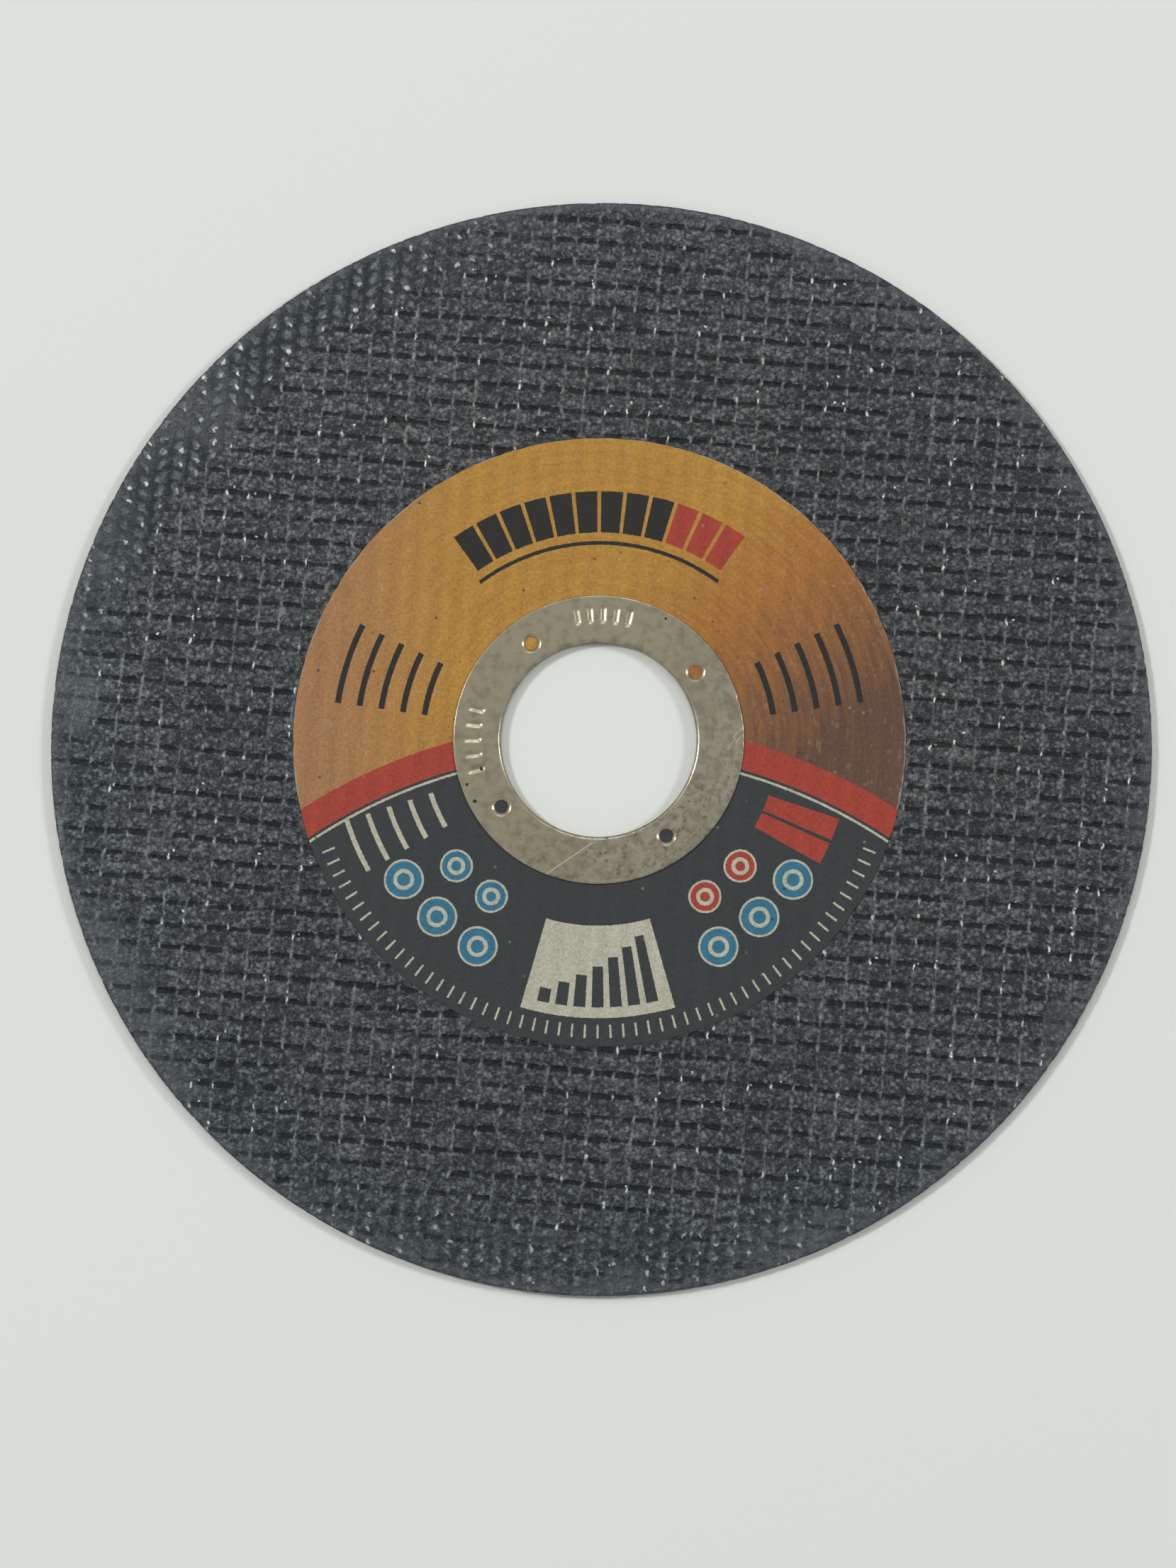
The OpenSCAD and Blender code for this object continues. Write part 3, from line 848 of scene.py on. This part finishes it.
rust = maths(tree, "MAXIMUM", blotch, ramp(tree, stain, 0.58, 0.68, 0.0, 0.6))
rust = maths(tree, "MULTIPLY", rust, ramp(tree, stained, 0.25, 1.0, 0.04, 0.8))
colour = mix_colour(tree, rust, colour, TARNISH)


def scratch_mask(start, end, half_width):
    """1 along a straight scratch between two places on the flange, in millimetres"""
    run = Vector(end) - Vector(start)
    turned = add_node(tree, "ShaderNodeMapping", {
        "Vector": in_mm, "Location": (*start, 0.0), "Rotation": (0.0, 0.0, math.atan2(run.y, run.x)),
    }, vector_type="TEXTURE")
    in_line = split(tree, turned.outputs["Vector"])
    lengthwise = maths(tree, "COMPARE", in_line["X"], run.length / 2, run.length / 2)
    crosswise = ramp(tree, maths(tree, "ABSOLUTE", in_line["Y"]), 0.0, half_width, 1.0, 0.0)
    return maths(tree, "MULTIPLY", lengthwise, crosswise)


SCRATCHES = (
    ((-6.05, -15.5), (-0.65, -11.8), 0.12),
    ((15.2, 0.1), (16.4, 1.4), 0.08),
    ((15.5, -0.5), (16.2, 0.4), 0.08),
    ((14.6, -1.2), (15.6, 0.2), 0.06),
)
scratches = 0.0
for start, end, half_width in SCRATCHES:
    scratches = maths(tree, "MAXIMUM", scratches, scratch_mask(start, end, half_width))
colour = mix_colour(tree, scratches, colour, TIN_BRIGHT)
SPOTS = (((-13.3, -3.4), 0.24), ((-14.9, -5.2), 0.17), ((-14.0, -7.1), 0.24), ((7.6, 13.8), 0.16))
spots = 0.0
for middle, size in SPOTS:
    gap = vectors(tree, "DISTANCE", in_mm, (*middle, RING_TOP / MM), output="Value")
    ragged_gap = maths(tree, "MULTIPLY_ADD", stain, 0.3, gap)
    spots = maths(tree, "MAXIMUM", spots, maths(tree, "LESS_THAN", ragged_gap, size + 0.15))
colour = mix_colour(tree, spots, colour, TARNISH)
eaten = maths(tree, "MAXIMUM", rust, spots)
rough = maths(tree, "MULTIPLY_ADD", eaten, 0.3, ramp(tree, mottle, 0.3, 0.7, 0.24, 0.34))
relief = maths(tree, "SUBTRACT", mottle, scratches)
bump = add_node(tree, "ShaderNodeBump", {"Height": relief, "Strength": 0.25, "Distance": 0.02 * MM})
shader.inputs["Metallic"].default_value = 1.0
tree.links.new(colour, shader.inputs["Base Color"])
tree.links.new(rough, shader.inputs["Roughness"])
tree.links.new(bump.outputs["Normal"], shader.inputs["Normal"])
ring_piece = new_piece("bore_ring", ring, tinplate)
punch_piece = new_piece("punches", punches, tinplate)
cut = ring_piece.modifiers.new("holes", "BOOLEAN")
cut.object = punch_piece
cut.solver = "EXACT"
evaluated = ring_piece.evaluated_get(bpy.context.evaluated_depsgraph_get())
pierced = bpy.data.meshes.new_from_object(evaluated)
ring_piece.modifiers.clear()
ring_piece.data = pierced
bpy.data.objects.remove(punch_piece)
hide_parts("centre_ring")
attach(ring_piece, "root")

# Floor: a pale, matt bench that the wheel lies on.
# Far from the wheel it fades into the pale room, so that no edge of it shows.
FLOOR_HALF = 4.0
FADE_START = 350.0 * MM
FADE_END = 1400.0 * MM
BENCH_WHITE = (0.71, 0.725, 0.70, 1.0)
ROOM_WHITE = (0.98, 1.0, 0.97, 1.0)
ROOM_SEEN = 0.72


def seen(tree):
    """1 for what the eye meets, straight or in a shiny surface, and 0 for what only lights the wheel"""
    ray = add_node(tree, "ShaderNodeLightPath", {}).outputs
    mirrored = maths(tree, "MAXIMUM", ray["Is Glossy Ray"], ray["Is Transmission Ray"])
    return maths(tree, "MAXIMUM", mirrored, ray["Is Camera Ray"])


bench = bmesh.new()
bmesh.ops.create_grid(bench, x_segments=1, y_segments=1, size=FLOOR_HALF)
floor_material, tree, shader, in_mm = new_material("bench")
shader.inputs["Base Color"].default_value = BENCH_WHITE
shader.inputs["Roughness"].default_value = 0.7
away = ramp(tree, vectors(tree, "LENGTH", in_mm, output="Value"), FADE_START / MM, FADE_END / MM)
glow = add_node(tree, "ShaderNodeEmission", {"Color": ROOM_WHITE, "Strength": ROOM_SEEN})
faded = add_node(tree, "ShaderNodeMixShader", {
    0: maths(tree, "MULTIPLY", away, seen(tree)), 1: shader.outputs["BSDF"], 2: glow.outputs["Emission"],
})
tree.links.new(faded.outputs[0], tree.nodes["Material Output"].inputs["Surface"])
floor = new_piece("bench", bench, floor_material)

# Studio light: a soft lamp at each side, a broad panel over the far side of the bench, and an even room
# that looks as pale as the bench, to the eye and in the metal.
ROOM_LIGHT = 0.4
world = bpy.data.worlds.new("room")
world.use_nodes = True
tree = world.node_tree
room = tree.nodes["Background"]
room.inputs["Color"].default_value = ROOM_WHITE
tree.links.new(ramp(tree, seen(tree), 0.0, 1.0, ROOM_LIGHT, ROOM_SEEN), room.inputs["Strength"])
bpy.context.scene.world = world


def studio_lamp(name, place, size, power):
    """A round lamp at a place, turned towards the wheel"""
    lamp = bpy.data.lights.new(name, "AREA")
    lamp.shape = "DISK"
    lamp.size = size
    lamp.energy = power
    lamp_object = bpy.data.objects.new(name, lamp)
    lamp_object.location = place
    lamp_object.rotation_euler = (-Vector(place)).to_track_quat("-Z", "Y").to_euler()
    bpy.context.scene.collection.objects.link(lamp_object)


studio_lamp("ceiling_panel", (0.0, 1.3, 1.7), 1.0, 6.8)
studio_lamp("lamp_left", (-1.5, 0.6, 1.6), 0.35, 22.0)
studio_lamp("lamp_right", (1.9, 0.5, 1.35), 0.45, 17.0)

# Camera: held over the wheel by hand, nearly square to it, with the far edge a little further away.
# Its focal length is in pixels of the picture, and the wheel's place is in the camera's own axes.
IMAGE_H = 2212
FOCAL_PX = 4500
TILT_X = math.radians(-6.28)
TILT_Y = math.radians(-1.82)
WHEEL_FROM_CAMERA = Vector((1.19, 5.09, -362.0)) * MM
camera = bpy.data.cameras.new("camera")
camera.sensor_fit = "VERTICAL"
camera.sensor_height = 36.0
camera.lens = FOCAL_PX / IMAGE_H * camera.sensor_height
camera.clip_start = 0.01
camera_object = bpy.data.objects.new("camera", camera)
turn = (Matrix.Rotation(TILT_Y, 3, "Y") @ Matrix.Rotation(TILT_X, 3, "X")).transposed()
camera_object.matrix_world = Matrix.Translation(
    Vector((0.0, 0.0, WHEEL_T)) - turn @ WHEEL_FROM_CAMERA
) @ turn.to_4x4()
bpy.context.scene.collection.objects.link(camera_object)
bpy.context.scene.camera = camera_object
bpy.context.scene.view_settings.view_transform = "Standard"
